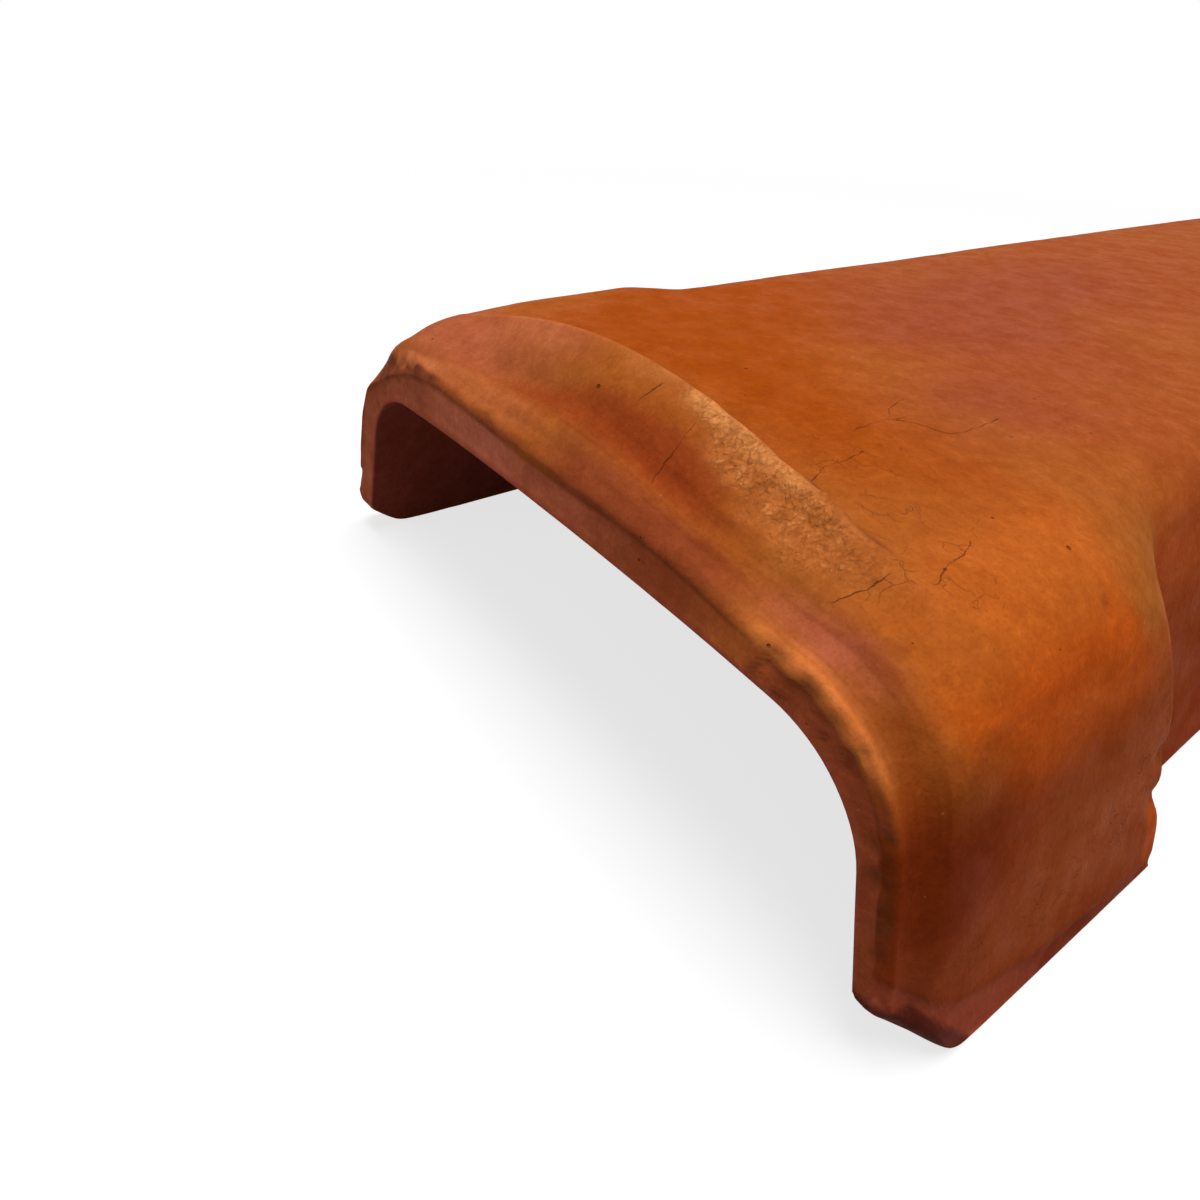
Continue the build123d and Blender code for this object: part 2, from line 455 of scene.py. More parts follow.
# %% [markdown]
# ## Wear on the skin
#
# The clay was pressed wet and handled wet, so nothing on it is quite flat. Each point moves along its
# normal by a sum of small heights. The rim carries a bead with a hollow behind it. The near end of
# the lug runs out in a torn ridge. Chips and dents are bell-shaped scoops at listed places.
# Noise in three sizes does the rest: slow waves, finger dents and a coarse grain on the torn crest.

# %% Height of the rim's bead and of the ridge
def near_leg(x):
    """0 over the crown and 1 on the near leg of the mouth, with an S-curve between."""
    return ease((x - 50) / 15)


def bead_line(x):
    """Distance of the bead from the mouth: wide over the crown, close to the edge at the near side."""
    return 4.6 - 3.4 * ease((x + 5) / 60)


def rim_height(points):
    """Bead behind the mouth's edge, less a hollow behind it and, on the near leg, a crevice before it."""
    x, along, z = np.moveaxis(points, -1, 0)
    leg = near_leg(x)
    bead_d = bead_line(x)
    bead = (0.5 - 0.25 * hill(x, 8, 25)) * hill(along, bead_d, 1.7 - 0.8 * leg)
    crevice = 0.5 * leg * hill(along, 0.3, 0.45) * (0.8 + 0.6 * lattice_noise(points, 3.1, 2.7))
    crevice = crevice * ease((48 - z) / 6)
    hollow = (0.7 - 0.25 * leg) * hill(along, bead_d + 4.2 - 0.8 * leg, 2.3 - 0.3 * leg)
    hollow = hollow * (1 - 0.9 * ease((-x - 25) / 25))
    return bead - crevice - hollow


def ridge_height(points):
    """A low ridge that carries the lug's crest on to the near shoulder."""
    x, along, z = np.moveaxis(points, -1, 0)
    line = 17.6 - 0.17 * (x - 40)
    return 1.1 * hill(along, line, 2.2) * ease((x - 36) / 8) * ease((67 - x) / 12) * (z > 50)


print("bead", bead_line(np.array([0.0, 60.0])).round(1).tolist(), "mm behind the mouth, crown and leg")

# %% [markdown]
# The lower edge of each wall was trimmed with a knife, which pressed a flat band into the clay. Chips
# came later, when the tile was stacked. Sculpting could cut each one. A list of places, spreads and
# depths is easier to change, and small bites along the edge come from noise.

# %% Trimmed band, bites and chips
# Each chip has its place (x, d, z), its spread and its depth.
CHIPS = [
    ((-71.0, 0.5, 49.0), 4.5, 1.1), ((-63.5, 0.5, 53.6), 1.7, 1.3), ((-58.0, 0.3, 55.2), 1.5, 1.0),
    ((-53.0, 0.3, 55.9), 1.7, 0.9), ((-44.0, 0.2, 56.4), 1.3, 0.5), ((-21.0, 0.2, 56.6), 1.6, 0.6),
    ((54.0, 0.2, 53.0), 2.2, 0.7), ((59.9, 0.2, 51.2), 2.0, 0.9), ((64.5, 0.2, 49.4), 1.6, 0.5),
    ((76.4, 0.2, 32.5), 1.6, 1.0), ((74.7, 0.2, 37.2), 1.2, 0.6), ((79.7, 0.2, 21.0), 1.2, 0.6),
    ((86.4, 68.5, 15.5), 2.6, 1.2), ((83.6, 68.0, 24.5), 2.2, 0.8), ((65.7, 8.6, 58.3), 1.0, 0.4),
    ((73.9, 44.7, 56.6), 1.2, 0.6), ((-86.0, 3.0, 16.0), 2.4, 1.0), ((84.0, 6.0, 12.5), 2.4, 0.6),
]


def foot_band(points):
    """Share of the band along the lower edge of the head's walls that a trimming knife pressed flat.

    Its upper edge falls from 18 mm at the mouth to 4 mm near the step, as an exponential curve.
    """
    along, z = points[..., 1], points[..., 2]
    top = 3.0 + 15.4 * np.exp(-along / 20.0) + 0.9 * lattice_noise(points, 9.0, 6.6)
    return ease((top - z) / 0.9) * ease((80 - along) / 10)


def nibbled(points):
    """Share of small bites out of the mouth's outer edge, where fine noise is high."""
    x, along, z = np.moveaxis(points, -1, 0)
    bite = np.clip(lattice_noise(points, 2.1, 7.7) + 0.5 * lattice_noise(points, 5.0, 1.1) - 0.32, 0, 1)
    often = 0.2 + hill(x, 61, 11) + 0.6 * hill(x, -60, 10)
    return bite * often * hill(along, 0.2, 1.2) * ease((z - 24) / 8)


def chip_height(points):
    """Sum of the chips, a bell of the given spread and depth at each place, and of the bites."""
    total = -1.4 * nibbled(points)
    for place, spread, depth in CHIPS:
        total -= depth * spot(points, place, (spread, spread, spread))
    return total


print(len(CHIPS), "chips, deepest", max(chip[2] for chip in CHIPS), "mm")

# %% [markdown]
# The torn zone lies on the lug's crest. It is a function of the place alone, because the finish asks for
# it again. The waves and the grain of the clay are noise of several sizes.

# %% Torn crest and waves
MARGIN = 0.15


def torn_zone(points):
    """Share of torn clay: from the lug's crest down its front, further down towards the near side."""
    x, along, z = np.moveaxis(points, -1, 0)
    ragged = 1.6 * lattice_noise(points, 5.0, 3.9) + 0.9 * lattice_noise(points, 2.0, 6.1)
    lower = 15.2 - 9.0 * ease((x - 5) / 45) + ragged
    upper = crest_line(x) + 0.4
    across = ease((along - lower) / 5.0) * ease((upper - along) / 0.9)
    return across * ease((x + 14) / 26) * ease((66 - x) / 18) * (z > 56)


def worn_height(points):
    """All heights in millimetres, less a margin that keeps the skin inside the solid's box."""
    torn = torn_zone(points)
    waves = 0.4 * lattice_noise(points, 55.0) + 0.16 * lattice_noise(points, 14.0, 3.3)
    grain = 0.05 * lattice_noise(points, 4.0, 9.1)
    rough = 0.32 * lattice_noise(points, 3.4, 1.9) + 0.22 * lattice_noise(points, 2.0, 4.2)
    return waves * ease((points[..., 2] + 4) / 16) + grain + torn * rough - MARGIN


print("points on the torn crest", int((torn_zone(loops) * outer > 0.5).sum()))

# %% [markdown]
# A Displace modifier could move the points, but it would need a texture for each mark. Here every point
# moves along its normal by the sum of all heights. Normals come from the grid itself: the cross product
# of the step along a row and the step from row to row.

# %% Move the points along their normals
steps_along = np.gradient(loops, axis=0)
steps_around = np.roll(loops, -1, 1) - np.roll(loops, 1, 1)
normal = np.cross(steps_around, steps_along)
normal /= np.linalg.norm(normal, axis=-1, keepdims=True) + 1e-12
normal *= np.sign(normal[ROWS // 2, OUTER // 2, 2])
edge_waver = 0.3 * hill(loop_d, 0, 3.0) * lattice_noise(loops, 6.0, 5.7)
marks = chip_height(loops) + rim_height(loops) + ridge_height(loops) - 0.3 * foot_band(loops)
trough = (np.arange(COLS) >= INNER_AT) & (np.arange(COLS) <= COLS - 2 * FOOT)
height = worn_height(loops) * (1 - 0.7 * trough) + outer * (edge_waver + marks)
worn_loops = loops + normal * height[..., None]
print("moved", round(float(height.min()), 2), "to", round(float(height.max()), 2), "mm")

# %% [markdown]
# ## The face of the mouth
#
# The mouth shows the thickness of the clay as a flat face, a centimetre wide over the crown and half
# as wide down the near leg. It is a small grid of its own between the outer edge and the inner
# edge, pushed back a little by noise so that it catches light as pressed clay does.

# %% Grid across the face
FACE, FACE_SET = 6, 0.3
outer_edge = loops[0, : OUTER + 1]
inner_x, inner_z = inner_outline(share_out[::-1])
inner_edge = np.stack([inner_x[0, ::-1], np.full(OUTER + 1, FACE_SET), inner_z[0, ::-1]], -1)
across = np.linspace(0, 1, FACE + 1)[1:-1, None, None]
face = outer_edge + (inner_edge - outer_edge) * across
face = face + (worn_loops[0, : OUTER + 1] - outer_edge) * (1 - across) ** 4
face[..., 1] = FACE_SET + 0.25 * lattice_noise(face, 9.0, 2.2) + 0.12 * lattice_noise(face, 2.6, 6.4)
face[..., 1] -= chip_height(face)
print("face", face.shape[0], "by", face.shape[1], "points")

# %% [markdown]
# ## The mesh
#
# Quads join each row to the next, and each loop to itself. The face of the mouth continues the outer
# skin forwards. Its last row meets the inner edge, which has half as many points, so each face of
# that strip takes two steps on one side and one on the other. The tail is closed the same way.

# %% Faces of the grid, the mouth and the tail
index = np.arange(ROWS * COLS).reshape(ROWS, COLS)
face_index = ROWS * COLS + np.arange(face.shape[0] * (OUTER + 1)).reshape(face.shape[0], OUTER + 1)


def quads_between(rows):
    """Quads between neighbouring rows and columns of a grid of indices."""
    return np.stack([rows[:-1, :-1], rows[:-1, 1:], rows[1:, 1:], rows[1:, :-1]], -1).reshape(-1, 4)


def strip(ring, many, backwards):
    """Faces with two steps along many and one step along the ring's inner edge."""
    start = np.arange(INNER)
    fine = [many[2 * start + k] for k in range(3)]
    coarse = [ring[INNER_AT + INNER - start - k] for k in (1, 0)]
    faces = np.stack(fine + coarse, -1)
    return (faces[:, ::-1] if backwards else faces).tolist()


def feet(ring, near_column, far_column):
    """One many-sided face at each foot; the columns are the rows of points that end there."""
    near = np.concatenate([ring[OUTER : INNER_AT + 1][::-1], near_column])
    far = np.concatenate([ring[:1], ring[INNER_AT + INNER :][::-1], far_column[::-1]])
    return [near.tolist(), far.tolist()]


closed = np.concatenate([index, index[:, :1]], 1)
front = np.concatenate([face_index[::-1], index[:1, : OUTER + 1]])
quads = np.concatenate([quads_between(closed), quads_between(front)])
no_column = np.zeros(0, int)
mouth_faces = strip(index[0], face_index[-1], True) + feet(index[0], face_index[:, -1], face_index[:, 0])
tail_faces = strip(index[-1], index[-1], False) + [f[::-1] for f in feet(index[-1], no_column, no_column)]
faces = quads.tolist() + mouth_faces + tail_faces
print(len(faces), "faces,", sum(len(f) - 2 for f in faces), "triangles")

# %% [markdown]
# The points go into the mesh as one array. Faces must point outwards, and the signed volume tells:
# it is the sum of each face's corner products, and a skin that is inside out gives a negative one.

# %% Put the skin into a mesh
points = np.concatenate([worn_loops.reshape(-1, 3), face.reshape(-1, 3)])
low, high = np.array(cad_low) / MM, np.array(cad_high) / MM
vertices = np.clip(points - (0, LENGTH / 2, 0), low, high) * MM
skin = bpy.data.meshes.new("roof_tile_skin")
skin.from_pydata(vertices.tolist(), [], faces)
corners = vertices[quads]
volume = np.einsum("ij,ij->i", corners[:, 0], np.cross(corners[:, 1], corners[:, 2])).sum()
if volume < 0:
    skin.flip_normals()
skin.shade_smooth()
tile = bpy.data.objects.new("roof_tile_skin", skin)
bpy.context.collection.objects.link(tile)
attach(tile, "root")
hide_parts("roof_tile")
print(len(vertices), "points on the skin")

# %% [markdown]
# ## Broad tones
#
# Fired clay is never one colour: where the flame reached it is ochre, and where hands and roofs rubbed
# it is pale or dark. Some tones are painted light and shade: mauve and pale patches are painted sheen,
# bright bands on shoulders, beads and edges are painted light, and dark tones in hollows, crevices and
# chips are painted shade, as is part of the deep red low on the walls. These tones are centimetres
# wide, so one colour at each point is enough. Each tone is mixed over the last by a mask made of bell
# curves and noise, and the result is stored in the mesh as a colour attribute.

# %% Colours, noise and the mixing rule
TERRACOTTA, BRICK, OCHRE = (0.43, 0.118, 0.018), (0.41, 0.088, 0.012), (0.375, 0.067, 0.002)
BODY_CLAY, MAUVE, ROSE = (0.37, 0.080, 0.016), (0.34, 0.069, 0.023), (0.44, 0.107, 0.040)
SHOULDER, LIT_ORANGE = (0.57, 0.125, 0.014), (0.73, 0.114, 0.007)
DEEP_RED, DARK_RED, SHEEN_PALE = (0.34, 0.040, 0.0035), (0.22, 0.028, 0.003), (0.44, 0.096, 0.028)
x, along, z = points.T
drift = lattice_noise(points, 26.0, 8.3)
patch = lattice_noise(points, 11.0, 1.7)
fleck = lattice_noise(points, 4.5, 5.1)
is_outer = np.concatenate([np.broadcast_to(outer, (ROWS, COLS)).ravel(), np.zeros(face.size // 3, bool)])
is_face = np.arange(len(points)) >= ROWS * COLS
tone = np.tile(np.array(TERRACOTTA), (len(points), 1))


def mix(colour, share):
    """Move the tone at each point towards a colour by a share, which is kept between 0 and 1."""
    share = np.clip(share, 0, 1)[:, None]
    return tone * (1 - share) + np.array(colour) * share


print("noise for the tones on", len(points), "points")

# %% [markdown]
# The crown behind the lug is ochre, where the flame was hottest. Mauve patches on the middle of the body
# and a rose patch on the far head are painted sheen. The walls are deep red, darker low down: partly the
# clay's own tint, partly painted shade, with more painted shade on the near wall behind the mouth. The
# near shoulder is painted bright orange, as light from the lamp.

# %% Tones of the crown, the shoulder and the walls
wall = ease((52 - z) / 16) * is_outer
tone = mix(BRICK, 0.35 + 0.5 * drift + 0.3 * patch)
tone = mix(BODY_CLAY, ease((along - 68) / 24) * (0.9 + 0.3 * drift))
flame = 1.3 * spot(points, (-20, 48, 66), (34, 30, 14)) + 0.5 * spot(points, (30, 40, 66), (26, 20, 14))
flame = flame + 1.3 * spot(points, (-46, 82, 64), (26, 34, 14))
tone = mix(OCHRE, flame * (1 + 0.4 * drift))
# Painted sheen: mauve patches on the middle of the body.
mauve_sheen = spot(points, (2, 118, 66), (24, 30, 14)) + spot(points, (34, 76, 65), (14, 16, 14))
mauve_sheen = mauve_sheen + spot(points, (-16, 168, 66), (24, 50, 14))
tone = mix(MAUVE, mauve_sheen * (1 + 0.5 * patch))
# Painted sheen: rose on the far end of the head.
tone = mix(ROSE, spot(points, (-50, 12, 63), (30, 12, 14)) * (1.1 + 0.4 * patch))
# Deep red on the walls, stronger lower down: partly the clay's own tint, partly painted shade.
tone = mix(DEEP_RED, wall * (0.85 + 0.3 * drift))
# Painted light: bright orange bands on the near shoulder, where the lamp falls on it.
side = ease((x - 52) / 10) * ease((along - 4) / 9) * is_outer
tone = mix(SHOULDER, hill(z, 59, 6) * side * ease((62 - along) / 16) * (0.9 + 0.4 * patch))
shoulder_light = ease((z - 42 + 10 * ease((along - 6) / 24)) / 14) * ease((68 - along) / 14)
shoulder_light = shoulder_light * ease((60 - 8 * ease((along - 48) / 10) - z) / 9)
tone = mix(LIT_ORANGE, shoulder_light * side * (0.95 + 0.25 * patch))
# Painted shade: dark red on the near wall just behind the mouth.
tone = mix(DARK_RED, 1.2 * spot(points, (82, 9, 30), (12, 13, 19)) * wall * (0.9 + 0.3 * patch))
print("tones so far", np.round(tone.min(0), 3).tolist(), "to", np.round(tone.max(0), 3).tolist())

# %% [markdown]
# The lug has tones of its own: its front is red, and the far end of its crest is painted rosy as sheen.

# %% Tones of the lug's front and far end
LUG_RED, CREST_RUB, CREST_ROSE = (0.34, 0.055, 0.010), (0.55, 0.128, 0.022), (0.54, 0.142, 0.048)
torn = torn_zone(points) * is_outer
leg = near_leg(x)
upper = is_outer & (z > 40)
front_top = 14.5 - 5 * ease((4 - x) / 24)
lug_front = ease((front_top - along) / 3.5) * ease((along - 4) / 4) * ease((z - 54) / 4)
tone = mix(LUG_RED, 0.9 * lug_front * ease((42 - x) / 18) * ease((x + 36) / 20) * (1 + 0.3 * patch))
tone = mix(CREST_RUB, 0.25 * hill(along, 15.8, 1.7) * ease((x + 10) / 12) * ease((44 - x) / 14) * upper)
# Painted sheen: rose on the far end of the crest.
tone = mix(CREST_ROSE, 0.9 * hill(along, 16.5, 3.5) * ease((-2 - x) / 18) * ease((x + 50) / 14) * upper)
print("lug toned,", int((lug_front > 0.5).sum()), "points on its front")

# %% [markdown]
# The rim is brown over the crown. The bead at the near corner is painted bright as a highlight, with
# painted pink sheen in the groove behind it and painted shade in the hollow down the near leg. The far
# end of the edge has a pale facet, painted as a highlight, and a dark line of painted shade marks the
# edge itself.

# %% Tones of the rim
RIM_BROWN, RIM_EDGE, GROOVE = (0.285, 0.057, 0.016), (0.27, 0.056, 0.019), (0.50, 0.120, 0.055)
BEAD_ORANGE, FACET, FACET_END = (0.72, 0.198, 0.042), (0.48, 0.124, 0.033), (0.72, 0.205, 0.068)
rim_middle = ease((x + 8) / 14) * ease((56 - x) / 24) * ease((7.5 - along) / 5) * upper
tone = mix(RIM_BROWN, rim_middle * (1 + 0.2 * patch))
# Painted sheen: pink in the groove behind the near bead.
tone = mix(GROOVE, 1.2 * spot(points, (59, 4.8, 57.5), (9, 2.4, 5)) * is_outer * (1 + 0.6 * fleck))
# Painted shade: dark red in the hollow behind the bead on the near leg.
tone = mix(DARK_RED, 0.55 * hill(along, 4.6, 2.4) * leg * ease((57 - z) / 6) * is_outer)
# Painted highlight: a pale facet along the far part of the edge.
facet_line = 6.4 - 3.4 * ease((-22 - x) / 32) - 2.5 * ease((x + 22) / 30)
facet = ease((facet_line - along) / 0.8) * ease((along - 0.9) / 0.8) * ease((2 - x) / 24) * upper
tone = mix(FACET, facet * (0.95 + 0.25 * patch))
tone = mix(FACET_END, facet * hill(x, -51, 11))
# Painted highlight: the bright orange bead at the near corner.
bead = hill(along, 1.0, 1.6) * ease((x - 44) / 12) * ease((z - 43) / 7) * is_outer
tone = mix(BEAD_ORANGE, 1.3 * bead * (0.9 + 0.3 * patch))
# Painted shade: a dark line along the rounded edge of the mouth.
edge_shade = hill(along, 0.2, 0.6) * (ease((4 - x) / 20) + leg * ease((48 - z) / 6)) * upper
tone = mix(RIM_EDGE, 0.9 * edge_shade * (1 + 0.4 * fleck))
print("rim toned,", int((bead > 0.5).sum()), "points on the bright bead")

# %% [markdown]
# Where the crest tore, the raw clay is brown. The golden streak along the top is a painted highlight,
# and the dark line just behind it is painted shade. Before the lug the clay was rubbed sideways while
# it was wet. That share is only kept here, and the material draws its streaks.

# %% Tones of the torn crest
TORN_BROWN, GOLD, CREST_DARK = (0.52, 0.150, 0.031), (0.78, 0.290, 0.080), (0.22, 0.050, 0.011)
tone = mix(TORN_BROWN, 0.95 * torn * (1 - 0.5 * ease((26 - x) / 16)) * (1 + 0.4 * fleck))
crest_back = crest_line(x) + 0.7
# Painted highlight: a gold streak along the crest.
crest_highlight = hill(along, crest_back - 2.1, 1.3) * ease((x + 8) / 22) * ease((48 - x) / 14) * upper
tone = mix(GOLD, 0.9 * crest_highlight * (0.8 + 0.8 * fleck))
crest_shade = hill(along, crest_back, 0.7) * ease((x + 2) / 14) * ease((62 - x) / 8) * upper
tone = mix(CREST_DARK, crest_shade * np.clip(0.6 + 0.9 * fleck, 0.1, 0.9))
rubbed = 0.6 * ease((along - 0.8) / 2) * ease((13 - along) / 6) * is_outer * ease((z - 30) / 14)
rubbed = rubbed * ease((x + 40) / 50)
print("crest toned,", int((torn > 0.5).sum()), "points torn")

# %% [markdown]
# The face of the mouth is mauve to plum on the far side, the mauve painted as sheen, and brown down the
# near leg. At the far shoulder its edge broke off, so the outer skin shows the face's tone there, darker
# along the break. Painted shade sits in the crevice along the near leg and in every chip.

# %% Tones of the face
FACE_PLUM, FACE_MAUVE, FACE_FAR = (0.58, 0.138, 0.058), (0.64, 0.168, 0.086), (0.43, 0.102, 0.042)
FACE_BROWN, FACE_WARM, LEG_PLUM = (0.42, 0.086, 0.026), (0.63, 0.146, 0.031), (0.37, 0.074, 0.024)
RECESS_SHADE, PLUM_DARK = (0.13, 0.036, 0.010), (0.17, 0.037, 0.015)
tone = mix(FACE_PLUM, 1.0 * is_face)
# Painted sheen: mauve on the face towards the far side.
tone = mix(FACE_MAUVE, is_face * hill(x, -27, 15) * (0.9 + 0.6 * patch))
tone = mix(FACE_FAR, is_face * ease((-40 - x) / 10) * (0.9 + 0.3 * patch))
tone = mix(FACE_BROWN, is_face * ease((x - 8) / 14) * (0.9 + 0.3 * fleck))
tone = mix(FACE_WARM, is_face * hill(x, 46, 8) * (0.8 + 0.6 * patch))
tone = mix(LEG_PLUM, is_face * ease((x - 51) / 7) * (0.9 + 0.3 * fleck))
# Darker along the broken edge at the far shoulder.
broken_line = 1.6 + 1.2 * ease((-61 - x) / 5) + 0.4 * fleck
broken = ease((broken_line - along) / 0.6) * ease((-36 - x) / 8) * ease((z - 44) / 5) * is_outer
tone = mix(FACE_FAR, 0.8 * broken)
tone = mix(PLUM_DARK, broken * np.clip(0.60 + 0.5 * fleck, 0.2, 0.9))
crumb = lattice_noise(points, 1.9, 8.8)
# Painted shade: dark in the crevice along the near leg.
crevice = hill(along, 0.3, 0.6) * is_outer * leg * ease((z - 15) / 12) * ease((49 - z) / 5)
tone = mix(RECESS_SHADE, crevice * np.clip(0.35 + 0.4 * fleck + 0.7 * crumb, 0, 0.85))
# Painted shade: darker in every chip, the more so the deeper it is.
tone = mix(RECESS_SHADE, np.clip(-chip_height(points), 0, 1) * 0.7 * (is_outer | is_face))
print("face toned,", int(is_face.sum()), "points")

# %% [markdown]
# The foot was pressed flat with a knife, so its band is plum near the mouth and dark further back. Under
# the slanted corner the clay is painted nearly black, as shade. The step's edge has a pale rosy line, a
# painted highlight, and the ear of clay beside it is painted bright orange, as light falling on it from
# behind. A pale band of painted sheen crosses the near wall, and the body's near shoulder is painted
# brighter orange, as light.

# %% Tones of the foot and the trough
FOOT_PLUM, FOOT_DARK, CUT_DARK = (0.45, 0.090, 0.044), (0.24, 0.031, 0.007), (0.115, 0.020, 0.011)
HOLLOW, STEP_ROSE, EAR_LIT = (0.42, 0.080, 0.050), (0.57, 0.130, 0.042), (0.60, 0.103, 0.015)
BODY_LIGHT = (0.58, 0.094, 0.013)
# Painted sheen: a pale band across the near wall.
wall_sheen_band = spot(points, (85, 36, 17), (9, 30, 8)) + spot(points, (82, 62, 28), (8, 9, 12))
tone = mix(SHEEN_PALE, wall_sheen_band * wall * (0.75 + 0.5 * patch))
point_share = np.concatenate([np.tile(share_all, ROWS), np.zeros(face.size // 3)])
stepped = step_share(along, point_share) * is_outer
# Painted light: brighter orange along the body's near shoulder.
body_light = hill(z, 49, 9) * ease((along - 70) / 10) * ease((150 - along) / 50) * (x > 40) * is_outer
tone = mix(BODY_LIGHT, 0.85 * body_light)
# Painted highlight: a pale rosy line along the step's edge.
step_highlight = ease(stepped / 0.1) * ease((0.5 - stepped) / 0.3) * ease((z - 20) / 8) * ease((54 - z) / 9)
tone = mix(STEP_ROSE, 0.9 * step_highlight * (x > 60))
# Painted light: bright orange on the ear of clay at the step, as if lit from behind.
ear_light = ease((along - 65.5) / 2.5) * ease((79 - along) / 6) * ease((17.5 - z) / 5) * ease((z - 1) / 5)
tone = mix(EAR_LIT, ear_light * is_outer * (x > 0) * (0.95 + 0.5 * patch + 0.4 * fleck))
band = foot_band(points) * is_outer * (0.75 + 0.4 * fleck) * ease((66 - along) / 4)
tone = mix(FOOT_PLUM, band)
tone = mix(FOOT_DARK, band * ease((along - 24) / 16))
tone = mix(HOLLOW, (~is_outer & ~is_face & (z > 1.5)) * (0.85 + 0.2 * drift))
# Painted shade: nearly black under the slanted corner of the near foot.
under = ease((np.minimum(13.4, 18.6 - along) - z) / 1.8) * (along < 17) * (x > 60) * ~is_face
tone = mix(CUT_DARK, under * (1.05 + 0.2 * fleck))
print("broad tones from", np.round(tone.min(0), 3).tolist(), "to", np.round(tone.max(0), 3).tolist())

# %% [markdown]
# ## Cracks
#
# Drying cracks are a few tenths of a millimetre wide, far finer than the mesh. A painted picture
# could hold them, but the finish here has none. Instead each point stores its signed distance to the
# nearest crack, with plus on one side and minus on the other. Between two points the value
# passes evenly through zero, so the material can draw a hairline exactly where it is zero. A second
# value says how strongly the crack shows, and it fades towards both ends.

# %% Signed distance to the cracks
FAR_OFF, CRACK_FADE, CRACK_REACH = 99.0, 2.5, 3.0
# Each crack is a line of bends (x, d).
CRACKS = [
    [(27.8, 42.9), (28.2, 46.1), (27.6, 49.7), (28.2, 53.1), (30.4, 56.1), (36.5, 57.7), (37.4, 60.8),
     (37.3, 68.4), (36.9, 73.3)],
    [(28.2, 53.1), (24.9, 57.1), (22.7, 65.4)],
    [(38.5, 18.7), (34.9, 28.4), (34.9, 33.9), (34.2, 39.3)],
    [(9.9, 16.9), (8.8, 14.4), (7.4, 11.5)],
    [(19.9, 15.4), (19.8, 13.2), (19.9, 10.8), (19.6, 7.7), (20.2, 5.8)],
    [(54.7, 7.3), (56.7, 10.4), (58.3, 13.5), (58.8, 14.6)],
    [(62.3, 16.3), (62.8, 18.0), (61.7, 19.8), (60.8, 23.2), (60.4, 27.2), (58.7, 31.2)],
    [(-10.4, 15.3), (-9.9, 14.4)],
]


def crack_fields(place):
    """Signed distance to the nearest crack, and the length of crack left to its nearer end."""
    best = np.full(len(place), FAR_OFF)
    side, left = np.ones(len(place)), np.zeros(len(place))
    for crack in CRACKS:
        bends = np.array(crack)
        ways = np.diff(bends, axis=0)
        sizes = np.linalg.norm(ways, axis=1)
        before = np.concatenate([[0], np.cumsum(sizes)])
        for start, way, size, run in zip(bends, ways, sizes, before):
            offset = place - start
            share = np.clip(offset @ way / size ** 2, 0, 1)
            gap = np.linalg.norm(offset - share[:, None] * way, axis=1)
            nearer = gap < best
            best = np.where(nearer, gap, best)
            side = np.where(nearer, np.sign(way[0] * offset[:, 1] - way[1] * offset[:, 0]), side)
            done = run + share * size
            left = np.where(nearer, np.minimum(done, before[-1] - done), left)
    return best * side, left


crack_gap, crack_left = crack_fields(points[:, :2])
crack_near = ease((CRACK_REACH - np.abs(crack_gap)) / (CRACK_REACH / 2))
crack_show = ease(crack_left / CRACK_FADE) * crack_near * is_outer * (z > 50)
print("points beside a crack", int((crack_show > 0.1).sum()))

# %% [markdown]
# ## What the skin remembers
#
# A material can only read what the mesh carries. Vertex groups could carry single numbers, but an
# attribute takes a whole array in one call and can be a colour too. So each array becomes a named
# attribute with one value per point. The share of crazed clay is the last of them: it lies beside the
# lug's near end, behind the lug and on the near wall's band of painted sheen.

# %% Store the attributes
crazed = spot(points, (57, 22, 63), (14, 14, 8)) + spot(points, (36, 40, 65), (14, 16, 8))
crazed = np.clip(crazed + 1.2 * wall_sheen_band, 0, 1) * is_outer


def store(name, kind, field, values):
    """Write one value per point into a named attribute of the skin."""
    layer = skin.attributes.new(name, kind, "POINT")
    layer.data.foreach_set(field, np.ascontiguousarray(values, np.float32).ravel())


store("broad_tone", "FLOAT_COLOR", "color", np.column_stack([tone, np.ones(len(tone))]))
single = {"torn_clay": torn, "crazed_clay": crazed, "rubbed_clay": rubbed}
single.update({"crack_gap": crack_gap, "crack_show": crack_show})
for name, values in single.items():
    store(name, "FLOAT", "value", values)
print("attributes", [layer.name for layer in skin.attributes if not layer.name.startswith(".")])

# %% [markdown]
# ## The clay finish
#
# The material starts from the broad tones and adds what is too fine for the mesh: mottling a few
# millimetres wide, grain, dark pits and pale grit, wrinkles on the torn crest, and the cracks. Each
# is a small network on Object coordinates, so it stays with the clay from every side. A few helper
# functions keep the networks short. They add to whichever node tree the names nodes and links stand for,
# so the floor and the world use them again later.

# %% Helpers for the node network
clay = bpy.data.materials.new("fired_clay")
clay.use_nodes = True
nodes, links = clay.node_tree.nodes, clay.node_tree.links
shader = nodes["Principled BSDF"]
skin.materials.append(clay)
object_place = nodes.new("ShaderNodeTexCoord").outputs["Object"]


def feed(socket, value):
    """Link a socket to another node's output, or write a plain value on it."""
    if isinstance(value, bpy.types.NodeSocket):
        links.new(value, socket)
    else:
        socket.default_value = value


def maths(operation, a, b=0.0):
    """One arithmetic step between two values."""
    made = nodes.new("ShaderNodeMath")
    made.operation = operation
    feed(made.inputs[0], a)
    feed(made.inputs[1], b)
    return made.outputs[0]


def times(a, b):
    """Product of two values."""
    return maths("MULTIPLY", a, b)


